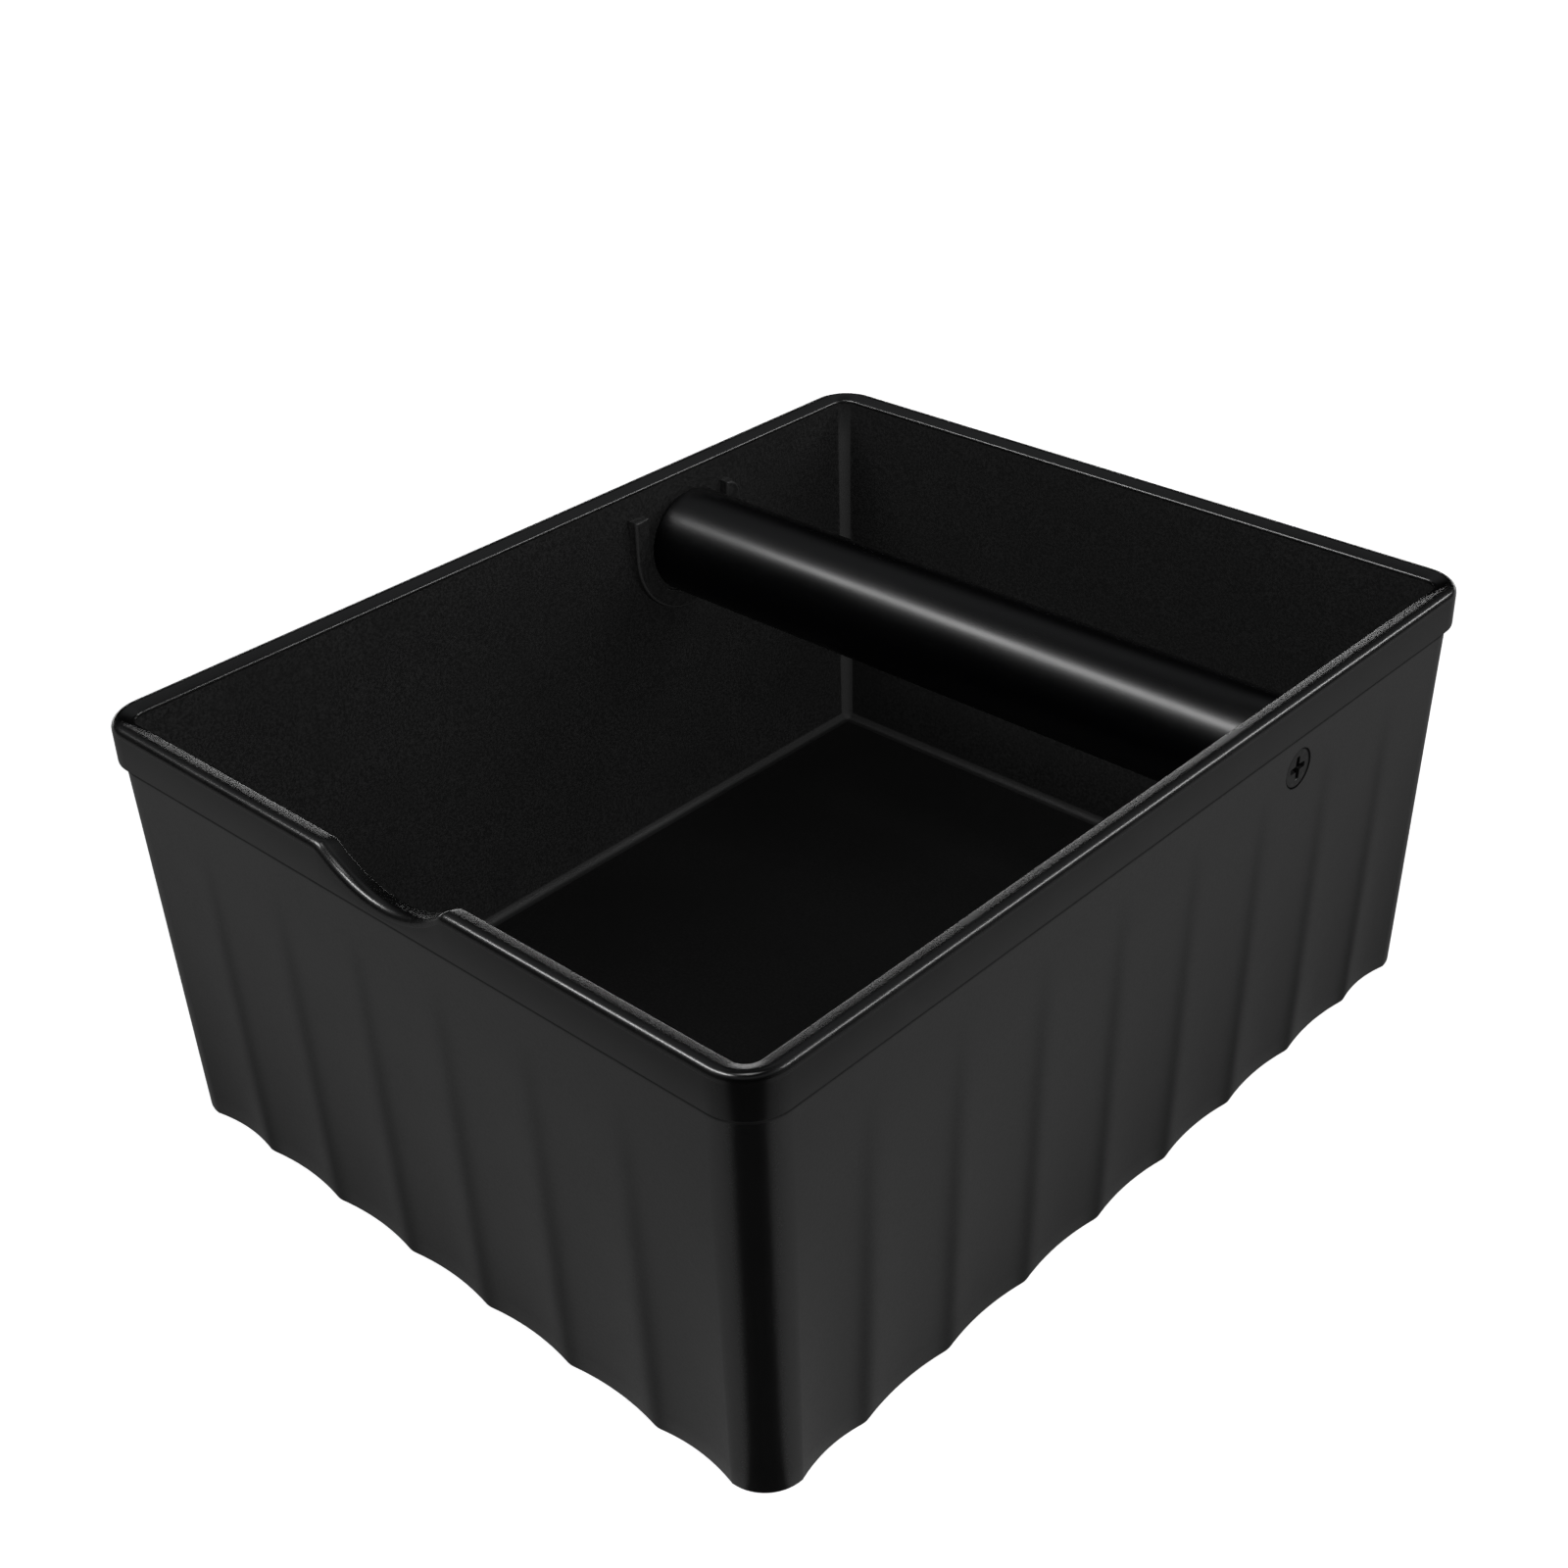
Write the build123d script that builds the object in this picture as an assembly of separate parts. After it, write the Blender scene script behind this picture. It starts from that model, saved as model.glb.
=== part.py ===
from build123d import *
import math
import os

# Espresso knock box: a tapered ABS bin with fluted walls, a plain band round its rim and a thumb
# notch in one short side. A rubber-sleeved steel bar lies across it, turning on two screws.
# Origin: centre of the footprint, on the table. +Z is up, the notched short side faces -Y, and
# the bar runs along X, nearer the +Y side. All lengths are in millimetres.

# ---- Bin, outside ------------------------------------------------------------------------------
RIM_WIDTH = 160.8
RIM_LENGTH = 201.6
HEIGHT = 88.0
BAND_HEIGHT = 8.3
BAND_STEP = 0.9
RIM_RADIUS = 8.5
BAND_TOP_ROUND = 1.5
BAND_LOWER_ROUND = 0.5
WALL_LEAN = 1.8
BASE_RADIUS = 8.0
SKIRT_BOTTOM = 1.0

# ---- Flutes ------------------------------------------------------------------------------------
SHORT_SIDE_PITCH = 21.0
LONG_SIDE_PITCH = 21.3
SHORT_SIDE_RIDGES = 6
LONG_SIDE_RIDGES = 8
FLUTE_DEPTH = 1.1
FLUTE_TOP = 66.0
RIDGE_INSET = 0.2

# ---- Bin, inside -------------------------------------------------------------------------------
LIP_WIDTH = 4.6
FLOOR_TOP = 6.0
CAVITY_LEAN_X = 3.2
CAVITY_LEAN_Y = 4.4
CAVITY_TOP_RADIUS = 3.0
CAVITY_FLOOR_RADIUS = 2.0
FLOOR_ROUND = 1.6
LIP_INNER_ROUND = 1.4

# ---- Underside ---------------------------------------------------------------------------------
FLOOR_THICKNESS = 3.0
SKIRT_THICKNESS = 5.2
RECESS_RADIUS = 5.0
FOOT_DIAMETER = 16.0
FOOT_INSET = 16.5
FOOT_ROUND = 0.7
FOOT_RING_GAP = 0.3
FOOT_RING_WIDTH = 1.2
FOOT_RING_HEIGHT = 1.2

# ---- Thumb notch -------------------------------------------------------------------------------
NOTCH_WIDTH = 30.6
NOTCH_DEPTH = 5.5

# ---- Knock bar ---------------------------------------------------------------------------------
BAR_Y = 42.5
BAR_Z = 72.3
SLEEVE_DIAMETER = 23.0
SLEEVE_LENGTH = 148.6
SLEEVE_END_ROUND = 1.6
CORE_DIAMETER = 16.0
CORE_WALL = 1.5
CORE_LENGTH = 148.8
PLUG_LENGTH = 14.0

# ---- Cradles -----------------------------------------------------------------------------------
CRADLE_GAP = 0.6
CRADLE_RIB = 3.8
CRADLE_FACE_X = 73.4
CRADLE_ARM_RISE = 9.0
CRADLE_BEVEL = 0.8
CRADLE_REAR_ROUND = 3.4

# ---- Screws: M4 x 16 countersunk, cross recess -------------------------------------------------
SCREW_DIAMETER = 4.0
SCREW_LENGTH = 16.0
HEAD_DIAMETER = 7.5
HEAD_RIM = 0.3
RECESS_SPAN = 4.8
RECESS_ARM = 1.1
RECESS_DEPTH = 1.7
RECESS_NARROWING = 0.45
SCREW_POINT_CHAMFER = 0.5
HEAD_SINK = 0.15
RUNNING_CLEARANCE = 0.05
HEAD_CLEARANCE = 0.3

# ---- Worked out --------------------------------------------------------------------------------
BAND_BOTTOM = HEIGHT - BAND_HEIGHT
WALL_TOP_X = RIM_WIDTH / 2 - BAND_STEP
WALL_TOP_Y = RIM_LENGTH / 2 - BAND_STEP
CAVITY_TOP_X = RIM_WIDTH / 2 - LIP_WIDTH
CAVITY_TOP_Y = RIM_LENGTH / 2 - LIP_WIDTH
SHANK_HOLE_RADIUS = SCREW_DIAMETER / 2 + RUNNING_CLEARANCE
PLUG_DIAMETER = CORE_DIAMETER - 2 * CORE_WALL


def lean_at(z, top, bottom, lean):
    """How far a leaning wall has moved in at height z, from 0 at top to lean at bottom."""
    return lean * (top - z) / (top - bottom)


def wall_half_sizes(z):
    """Half width and half length of the outer wall, over its corners, at height z."""
    inset = lean_at(z, BAND_BOTTOM, SKIRT_BOTTOM, WALL_LEAN)
    return WALL_TOP_X - inset, WALL_TOP_Y - inset


def cavity_half_x(z):
    """Half width of the inside at height z."""
    return CAVITY_TOP_X - lean_at(z, HEIGHT, FLOOR_TOP, CAVITY_LEAN_X)


def rounded_rectangle(half_x, half_y, radius, z):
    """A flat rounded rectangle at height z."""
    return Pos(0, 0, z) * RectangleRounded(2 * half_x, 2 * half_y, radius)


def ridge_places(pitch, ridges):
    """Where one side's ridges stand along it, evenly spaced about its middle."""
    first = -pitch * (ridges - 1) / 2
    return [first + pitch * index for index in range(ridges)]


def fluted_outline(z, radius, strength):
    """Closed wire round the outer wall at height z, its flutes at this share of their full depth."""
    half_x, half_y = wall_half_sizes(z)
    sides = [
        (half_y, half_x - radius, ridge_places(SHORT_SIDE_PITCH, SHORT_SIDE_RIDGES), 0),
        (half_x, half_y - radius, ridge_places(LONG_SIDE_PITCH, LONG_SIDE_RIDGES), 90),
        (half_y, half_x - radius, ridge_places(SHORT_SIDE_PITCH, SHORT_SIDE_RIDGES), 180),
        (half_x, half_y - radius, ridge_places(LONG_SIDE_PITCH, LONG_SIDE_RIDGES), 270),
    ]
    edges = []
    for distance, half_span, ridges, turn in sides:
        ridge_level = -distance + RIDGE_INSET * strength
        points = [Vector(-half_span, -distance, z)]
        points += [Vector(place, ridge_level, z) for place in ridges]
        points.append(Vector(half_span, -distance, z))
        for start, end in zip(points, points[1:]):
            middle = (start + end) / 2 + Vector(0, FLUTE_DEPTH * strength, 0)
            edge = ThreePointArc(start, middle, end) if strength > 0 else Line(start, end)
            edges.append(Rot(0, 0, turn) * edge)
        off_axis = radius * math.sqrt(0.5)
        corner_middle = Vector(half_span + off_axis, -distance + radius - off_axis, z)
        corner_end = Vector(half_span + radius, -distance + radius, z)
        corner = ThreePointArc(points[-1], corner_middle, corner_end)
        edges.append(Rot(0, 0, turn) * corner)
    return Wire(edges)


def outer_shell():
    """The bin's outside as one solid: fluted wall, plain wall above it, and the rim band."""
    fluted = Solid.make_loft(
        [fluted_outline(SKIRT_BOTTOM, BASE_RADIUS, 1), fluted_outline(FLUTE_TOP, RIM_RADIUS, 0)],
        ruled=True,
    )
    lower_x, lower_y = wall_half_sizes(FLUTE_TOP)
    plain = loft(
        [
            rounded_rectangle(lower_x, lower_y, RIM_RADIUS, FLUTE_TOP),
            rounded_rectangle(WALL_TOP_X, WALL_TOP_Y, RIM_RADIUS, BAND_BOTTOM),
        ],
        ruled=True,
    )
    return fluted + plain + rim_band()


def is_upright(edge):
    """True for an edge that runs mostly up and down."""
    return abs((edge @ 1 - edge @ 0).normalized().Z) > 0.5


def rim_band():
    """The plain band round the rim, notched, with its outer edges rounded."""
    outline = rounded_rectangle(RIM_WIDTH / 2, RIM_LENGTH / 2, RIM_RADIUS, BAND_BOTTOM)
    block = extrude(outline, amount=BAND_HEIGHT) - notch_cutter()
    block = fillet(block.edges().group_by(Axis.Z)[0], BAND_LOWER_ROUND)
    rim_edges = []
    for edge in block.edges():
        centre = edge.center()
        high = centre.Z > HEIGHT - NOTCH_DEPTH - 0.1
        outside = abs(centre.X) > CAVITY_TOP_X or abs(centre.Y) > CAVITY_TOP_Y
        if high and outside and not is_upright(edge):
            rim_edges.append(edge)
    return fillet(rim_edges, BAND_TOP_ROUND)


def round_lip(shape):
    """Round the rim's inner edges, notch included."""
    lip_edges = []
    for edge in shape.edges():
        centre = edge.center()
        high = centre.Z > HEIGHT - NOTCH_DEPTH - 0.5
        inside = abs(centre.X) < CAVITY_TOP_X + 0.5 and abs(centre.Y) < CAVITY_TOP_Y + 0.5
        if high and inside and not is_upright(edge):
            lip_edges.append(edge)
    return fillet(lip_edges, LIP_INNER_ROUND)


def cavity():
    """The inside of the bin, with its rounded floor edge."""
    floor_x = CAVITY_TOP_X - CAVITY_LEAN_X
    floor_y = CAVITY_TOP_Y - CAVITY_LEAN_Y
    space = loft(
        [
            rounded_rectangle(floor_x, floor_y, CAVITY_FLOOR_RADIUS, FLOOR_TOP),
            rounded_rectangle(CAVITY_TOP_X, CAVITY_TOP_Y, CAVITY_TOP_RADIUS, HEIGHT),
        ],
        ruled=True,
    )
    return fillet(space.edges().group_by(Axis.Z)[0], FLOOR_ROUND)


def notch_cutter():
    """A lying cylinder that leaves an arc of the notch's width and depth in the -Y side's rim."""
    half = NOTCH_WIDTH / 2
    radius = (half**2 + NOTCH_DEPTH**2) / (2 * NOTCH_DEPTH)
    centre_z = HEIGHT - NOTCH_DEPTH + radius
    return Pos(0, -RIM_LENGTH / 2, centre_z) * Rot(90, 0, 0) * Cylinder(radius, RIM_LENGTH / 2)


def foot_centres():
    """The four feet's centres, by name."""
    half_x, half_y = wall_half_sizes(SKIRT_BOTTOM)
    x = half_x - FOOT_INSET
    y = half_y - FOOT_INSET
    return {
        "foot_front_left": (-x, -y),
        "foot_front_right": (x, -y),
        "foot_rear_left": (-x, y),
        "foot_rear_right": (x, y),
    }


def underside_recess():
    """The shallow space under the floor, inside the skirt that the walls end in."""
    half_x, half_y = wall_half_sizes(SKIRT_BOTTOM)
    inner_x = half_x - SKIRT_THICKNESS
    inner_y = half_y - SKIRT_THICKNESS
    outline = rounded_rectangle(inner_x, inner_y, RECESS_RADIUS, SKIRT_BOTTOM)
    return extrude(outline, amount=FLOOR_TOP - FLOOR_THICKNESS - SKIRT_BOTTOM)


def foot_ring(x, y):
    """Low ring under the floor that a foot is stuck into."""
    inner = FOOT_DIAMETER / 2 + FOOT_RING_GAP
    outer = inner + FOOT_RING_WIDTH
    ring = Circle(outer) - Circle(inner)
    top = FLOOR_TOP - FLOOR_THICKNESS
    return Pos(x, y, top - FOOT_RING_HEIGHT) * extrude(ring, amount=FOOT_RING_HEIGHT)


def cradle():
    """U-shaped rib on the +X inner wall, open upwards, that the bar's end lies in."""
    inner = SLEEVE_DIAMETER / 2 + CRADLE_GAP
    outer = inner + CRADLE_RIB
    rise = CRADLE_ARM_RISE
    disc = Circle(outer) + Pos(0, rise / 2) * Rectangle(2 * outer, rise)
    above = Pos(0, rise + outer) * Rectangle(4 * outer, 2 * outer)
    opening = Circle(inner) + Pos(0, rise) * Rectangle(2 * inner, 2 * rise)
    outline = disc - above
    rear_corner = outline.vertices().sort_by(Axis((0, 0, 0), (1, 1, 0)))[-1]
    profile = fillet(rear_corner, CRADLE_REAR_ROUND) - opening
    depth = cavity_half_x(HEIGHT) - CRADLE_FACE_X
    rib = extrude(profile, amount=depth)
    face_edges = rib.edges().group_by(Axis.Z)[0]
    outside = [edge for edge in face_edges if not on_inner_edge(edge, inner)]
    rib = chamfer(outside, CRADLE_BEVEL)
    upright = Plane(origin=(CRADLE_FACE_X, BAR_Y, BAR_Z), x_dir=(0, 1, 0), z_dir=(1, 0, 0))
    return upright * rib


def on_inner_edge(edge, inner):
    """True for the rib's edges that bound its opening."""
    middle = edge.position_at(0.5)
    if middle.Y > CRADLE_ARM_RISE - 0.01:
        return False
    if edge.geom_type == GeomType.LINE:
        return abs(middle.X) < inner + 0.01
    return math.hypot(middle.X, middle.Y) < inner + 0.01


def screw_face_x():
    """Where the screw head's flat face lies: just under the wall's surface at the bar's axis."""
    wall_x, _ = wall_half_sizes(BAR_Z)
    return wall_x - HEAD_SINK


def along_bar(shape, x):
    """Stand a shape that was made along +Z on the bar's axis, so that its +Z points along +X."""
    return Pos(x, BAR_Y, BAR_Z) * Rot(0, 90, 0) * shape


def screw_hole():
    """Clearance hole and countersink through the +X wall."""
    hole = along_bar(Cylinder(SHANK_HOLE_RADIUS, 4 * LIP_WIDTH), CAVITY_TOP_X)
    shift = HEAD_CLEARANCE * math.sqrt(2)
    mouth_radius = HEAD_DIAMETER / 2 + HEAD_CLEARANCE
    cone_depth = mouth_radius - SHANK_HOLE_RADIUS
    cone = Cone(SHANK_HOLE_RADIUS, mouth_radius, cone_depth)
    head_cone_depth = (HEAD_DIAMETER - SCREW_DIAMETER) / 2
    tip_x = screw_face_x() - HEAD_RIM - head_cone_depth - shift + SHANK_HOLE_RADIUS - SCREW_DIAMETER / 2
    sink = along_bar(cone, tip_x + cone_depth / 2)
    mouth = along_bar(Cylinder(mouth_radius, LIP_WIDTH), tip_x + cone_depth + LIP_WIDTH / 2)
    return hole + sink + mouth


def cross_recess():
    """Cross recess, made with its open face at z = 0 and its tip below."""
    tip_span = RECESS_SPAN * RECESS_NARROWING
    tip_arm = RECESS_ARM * RECESS_NARROWING
    arms = []
    for turn in (0, 90):
        mouth = Rectangle(RECESS_SPAN, RECESS_ARM)
        tip = Pos(0, 0, -RECESS_DEPTH) * Rectangle(tip_span, tip_arm)
        arms.append(Rot(0, 0, turn) * loft([tip, mouth]))
    return arms[0] + arms[1]


def screw():
    """One screw, made with its head's face at z = 0 and its shank pointing down."""
    cone_depth = (HEAD_DIAMETER - SCREW_DIAMETER) / 2
    rim = Pos(0, 0, -HEAD_RIM / 2) * Cylinder(HEAD_DIAMETER / 2, HEAD_RIM)
    cone = Cone(SCREW_DIAMETER / 2, HEAD_DIAMETER / 2, cone_depth)
    cone = Pos(0, 0, -HEAD_RIM - cone_depth / 2) * cone
    shank = Pos(0, 0, -SCREW_LENGTH / 2) * Cylinder(SCREW_DIAMETER / 2, SCREW_LENGTH)
    tip_edge = shank.edges().sort_by(Axis.Z)[0]
    shank = chamfer(tip_edge, SCREW_POINT_CHAMFER)
    return rim + cone + shank - cross_recess()


def bin_body():
    """The moulded bin, with both cradles, both screw holes, the notch and the foot rings."""
    shape = round_lip(outer_shell() - cavity()) - underside_recess()
    for x, y in foot_centres().values():
        shape += foot_ring(x, y)
    right = cradle()
    shape += right
    shape += mirror(right, Plane.YZ)
    hole = screw_hole()
    shape -= hole
    shape -= mirror(hole, Plane.YZ)
    return shape


def bar_core():
    """Steel tube that carries the bar."""
    tube = Cylinder(CORE_DIAMETER / 2, CORE_LENGTH) - Cylinder(PLUG_DIAMETER / 2, CORE_LENGTH)
    return along_bar(tube, 0)


def bar_sleeve():
    """Rubber sleeve over the core, with rounded ends."""
    sleeve = Cylinder(SLEEVE_DIAMETER / 2, SLEEVE_LENGTH)
    rims = sleeve.edges().filter_by(GeomType.CIRCLE)
    sleeve = fillet(rims, SLEEVE_END_ROUND) - Cylinder(CORE_DIAMETER / 2, SLEEVE_LENGTH)
    return along_bar(sleeve, 0)


def bar_end_plug():
    """Threaded plug in the core's +X end."""
    plug = Cylinder(PLUG_DIAMETER / 2, PLUG_LENGTH) - Cylinder(SCREW_DIAMETER / 2, PLUG_LENGTH)
    return along_bar(plug, CORE_LENGTH / 2 - PLUG_LENGTH / 2)


def foot(x, y):
    """Round stick-on rubber foot."""
    height = FLOOR_TOP - FLOOR_THICKNESS
    pad = Pos(x, y, height / 2) * Cylinder(FOOT_DIAMETER / 2, height)
    return fillet(pad.edges().sort_by(Axis.Z)[0], FOOT_ROUND)


def write_parts():
    """Write every node's STEP file."""
    os.makedirs("parts", exist_ok=True)
    body = bin_body()
    right_plug = bar_end_plug()
    right_screw = along_bar(screw(), screw_face_x())
    nodes = {
        "bin_body": body,
        "bar_core_tube": bar_core(),
        "bar_rubber_sleeve": bar_sleeve(),
        "bar_end_plug_right": right_plug,
        "bar_end_plug_left": mirror(right_plug, Plane.YZ),
        "bar_screw_right": right_screw,
        "bar_screw_left": mirror(right_screw, Plane.YZ),
    }
    for name, (x, y) in foot_centres().items():
        nodes[name] = foot(x, y)
    for name, shape in nodes.items():
        export_step(shape, f"parts/{name}.step")


write_parts()
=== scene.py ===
import bpy
import math
from collections import namedtuple
from mathutils import Matrix, Vector


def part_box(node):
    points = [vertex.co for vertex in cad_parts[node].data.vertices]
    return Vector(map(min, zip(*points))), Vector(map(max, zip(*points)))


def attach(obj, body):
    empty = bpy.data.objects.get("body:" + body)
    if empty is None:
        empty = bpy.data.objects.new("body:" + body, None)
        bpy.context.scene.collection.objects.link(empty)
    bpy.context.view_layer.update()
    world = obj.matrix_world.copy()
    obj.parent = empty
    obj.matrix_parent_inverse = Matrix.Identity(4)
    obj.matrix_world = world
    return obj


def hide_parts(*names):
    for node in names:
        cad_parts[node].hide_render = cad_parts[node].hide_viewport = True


# Espresso knock box: the looks of the moulded bin, its rubber-sleeved bar, its screws and its feet.
# The frame is the CAD's: the box's notched short side faces -Y and the bar runs along X. Lengths
# are in millimetres up to the moment a mesh is made, and metres after that.

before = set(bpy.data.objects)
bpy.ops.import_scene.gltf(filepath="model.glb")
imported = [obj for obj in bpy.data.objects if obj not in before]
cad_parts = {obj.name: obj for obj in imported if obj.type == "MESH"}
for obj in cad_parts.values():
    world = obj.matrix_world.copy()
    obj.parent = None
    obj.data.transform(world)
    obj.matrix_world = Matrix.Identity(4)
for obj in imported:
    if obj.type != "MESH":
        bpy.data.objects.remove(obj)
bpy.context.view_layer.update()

MM = 0.001

# ---- The bin's dimensions, as in the CAD -------------------------------------------------------
HEIGHT = 88.0
BAND_BOTTOM = 79.7
BAND_HALF_X = 80.4
BAND_HALF_Y = 100.8
BAND_RADIUS = 8.5
BAND_STEP = 0.9
BAND_TOP_ROUND = 1.5
BAND_LOWER_ROUND = 0.5
SEAM_HEIGHT = 0.8
SEAM_FADE = 0.5
PLAIN_WALL_RING = 73.0
WALL_LEAN = 1.8
BASE_RADIUS = 8.0
SKIRT_BOTTOM = 1.0
SKIRT_ROUND = 0.35
SKIRT_THICKNESS = 5.2
RECESS_TOP = 3.0
RECESS_RADIUS = 5.0

SHORT_PITCH = 21.0
LONG_PITCH = 21.3
SHORT_RIDGES = 6
LONG_RIDGES = 8
FLUTE_DEPTH = 1.1
FLUTE_TOP = 66.0
RIDGE_INSET = 0.2
RIDGE_SOFTNESS = 0.35

LIP_WIDTH = 4.6
LIP_INNER_ROUND = 0.8
LIP_CROWN_RADIUS = 2.0
LIP_CROWN_TILT = 17
LIP_CROWN_END = 2.3
CAVITY_LEAN_X = 3.2
CAVITY_LEAN_Y = 4.4
CAVITY_TOP_RADIUS = 3.0
CAVITY_FLOOR_RADIUS = 2.0
CAVITY_WALL_TOP = 78.0
FLOOR_TOP = 6.0
FLOOR_ROUND = 1.6
FLOOR_CORNER_RADIUS = 0.3
FLOOR_MARGIN = 0.5

NOTCH_WIDTH = 30.6
NOTCH_DEPTH = 5.5
NOTCH_SOFTNESS = 0.35

BAR_Y = 42.5
BAR_Z = 72.3
SLEEVE_RADIUS = 11.5
CRADLE_GAP = 0.6
CRADLE_RIB = 3.8
CRADLE_FACE_X = 73.4
CRADLE_ARM_RISE = 9.0
CRADLE_REAR_ROUND = 3.4
CRADLE_EDGE_ROUND = 0.6

SCREW_FACE_X = 79.17
SCREW_RADIUS = 2.0
SCREW_LENGTH = 16.0
HEAD_RADIUS = 3.75
HEAD_RIM = 0.3
HEAD_CLEARANCE = 0.3

FOOT_RADIUS = 8.0
FOOT_RING_GAP = 0.3
FOOT_RING_WIDTH = 1.2
FOOT_RING_HEIGHT = 1.2
FOOT_NODES = ("foot_front_left", "foot_front_right", "foot_rear_left", "foot_rear_right")

WALL_TOP_X = BAND_HALF_X - BAND_STEP
WALL_TOP_Y = BAND_HALF_Y - BAND_STEP
CAVITY_TOP_X = BAND_HALF_X - LIP_WIDTH
CAVITY_TOP_Y = BAND_HALF_Y - LIP_WIDTH
QUARTER = math.pi / 2

# How many sides a turned shape has, and the room allowed when points are found by where they are.
TURNED_SIDES = 64
MARGIN = 0.1

# Where each material stands in the bin's list of materials.
WALL, BAND, LIP, INSIDE, FLOOR = range(5)


# ---- Making meshes -----------------------------------------------------------------------------
def new_object(name, points, faces, materials, face_materials=None):
    """A mesh object from points in millimetres, smooth but for its sharp edges."""
    mesh = bpy.data.meshes.new(name)
    mesh.from_pydata([Vector(point) * MM for point in points], [], faces)
    for material in materials:
        mesh.materials.append(material)
    if face_materials:
        for polygon, index in zip(mesh.polygons, face_materials):
            polygon.material_index = index
    mesh.validate()
    mesh.update()
    piece = bpy.data.objects.new(name, mesh)
    bpy.context.scene.collection.objects.link(piece)
    smooth_by_angle(piece)
    return piece


def smooth_by_angle(piece, angle=32):
    """Smooth shading, with edges over this angle in degrees kept sharp."""
    mesh = piece.data
    mesh.polygons.foreach_set("use_smooth", [True] * len(mesh.polygons))
    mesh.set_sharp_from_angle(angle=math.radians(angle))


def cut_or_join(piece, tool, operation):
    """Apply one boolean to piece and delete the tool."""
    modifier = piece.modifiers.new("boolean", "BOOLEAN")
    modifier.operation = operation
    modifier.solver = "EXACT"
    modifier.object = tool
    bpy.context.view_layer.update()
    evaluated = piece.evaluated_get(bpy.context.evaluated_depsgraph_get())
    mesh = bpy.data.meshes.new_from_object(evaluated)
    piece.modifiers.remove(modifier)
    old_mesh = piece.data
    piece.data = mesh
    mesh.name = piece.name
    bpy.data.meshes.remove(old_mesh)
    tool_mesh = tool.data
    bpy.data.objects.remove(tool)
    bpy.data.meshes.remove(tool_mesh)


def join_rings(rings, cap_first=True, cap_last=True):
    """Faces between rings of equal length, closed round, with a cap at each end if wanted.

    Returns the points and the faces. Each ring runs the same way round, and a face's front is on
    the right of the step from a ring to the next, seen along the ring."""
    count = len(rings[0])
    points = [point for ring in rings for point in ring]
    faces = []
    for level in range(len(rings) - 1):
        low = level * count
        high = low + count
        for index in range(count):
            after = (index + 1) % count
            faces.append((low + index, low + after, high + after, high + index))
    if cap_first:
        faces.append(tuple(reversed(range(count))))
    if cap_last:
        last = (len(rings) - 1) * count
        faces.append(tuple(range(last, last + count)))
    return points, faces


def flipped(faces):
    """The same faces with their fronts on the other side."""
    return [tuple(reversed(face)) for face in faces]


def lathe(profile, sides=TURNED_SIDES):
    """Rings of a turned shape about the Z axis, from (radius, height) pairs."""
    turns = [2 * math.pi * index / sides for index in range(sides)]
    return [[(r * math.cos(a), r * math.sin(a), z) for a in turns] for r, z in profile]


def moved(rings, x, y):
    """The rings of a shape turned about Z, moved to stand at x and y."""
    return [[(x + a, y + b, z) for a, b, z in one] for one in rings]


def laid_on_bar_axis(rings, side=1):
    """The rings of a shape turned about Z, laid on the bar's axis, its top towards this side."""
    return [[(side * z, BAR_Y + a, BAR_Z + b) for a, b, z in one] for one in rings]


def arc_points(centre, radius, start, end, steps):
    """(u, v) points on an arc from angle start to angle end in degrees, both ends included."""
    points = []
    for step in range(steps + 1):
        angle = math.radians(start + (end - start) * step / steps)
        points.append((centre[0] + radius * math.cos(angle), centre[1] + radius * math.sin(angle)))
    return points


# ---- Materials ---------------------------------------------------------------------------------
class NodeGraph:
    """A node tree under construction: makes nodes and links them in one call each."""

    def __init__(self, tree):
        self.nodes = tree.nodes
        self.links = tree.links
        self.coordinates = self.nodes.new("ShaderNodeTexCoord")

    def connect(self, socket, value):
        """Link value to socket, or set it there if it is a number or a colour."""
        if isinstance(value, bpy.types.NodeSocket):
            self.links.new(value, socket)
        else:
            socket.default_value = value

    def component(self, axis, vector):
        """One component of a vector: "X", "Y" or "Z"."""
        node = self.nodes.new("ShaderNodeSeparateXYZ")
        self.links.new(vector, node.inputs["Vector"])
        return node.outputs[axis]

    def spread(self, value, from_low, from_high, to_low, to_high):
        """Map a range of value on to another range, smoothly and without overshoot."""
        node = self.nodes.new("ShaderNodeMapRange")
        node.interpolation_type = "SMOOTHSTEP"
        self.links.new(value, node.inputs["Value"])
        for name, number in zip(("From Min", "From Max", "To Min", "To Max"),
                                (from_low, from_high, to_low, to_high)):
            node.inputs[name].default_value = number
        return node.outputs["Result"]

    def math(self, operation, *values):
        """One operation on values or numbers."""
        node = self.nodes.new("ShaderNodeMath")
        node.operation = operation
        for socket, value in zip(node.inputs, values):
            self.connect(socket, value)
        return node.outputs["Value"]

    def vector_math(self, operation, *vectors):
        """One operation on vectors, whose result is a number if it is a length or a dot product."""
        node = self.nodes.new("ShaderNodeVectorMath")
        node.operation = operation
        for socket, vector in zip(node.inputs, vectors):
            self.connect(socket, vector)
        return node.outputs["Value" if operation in ("LENGTH", "DOT_PRODUCT") else "Vector"]


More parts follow.
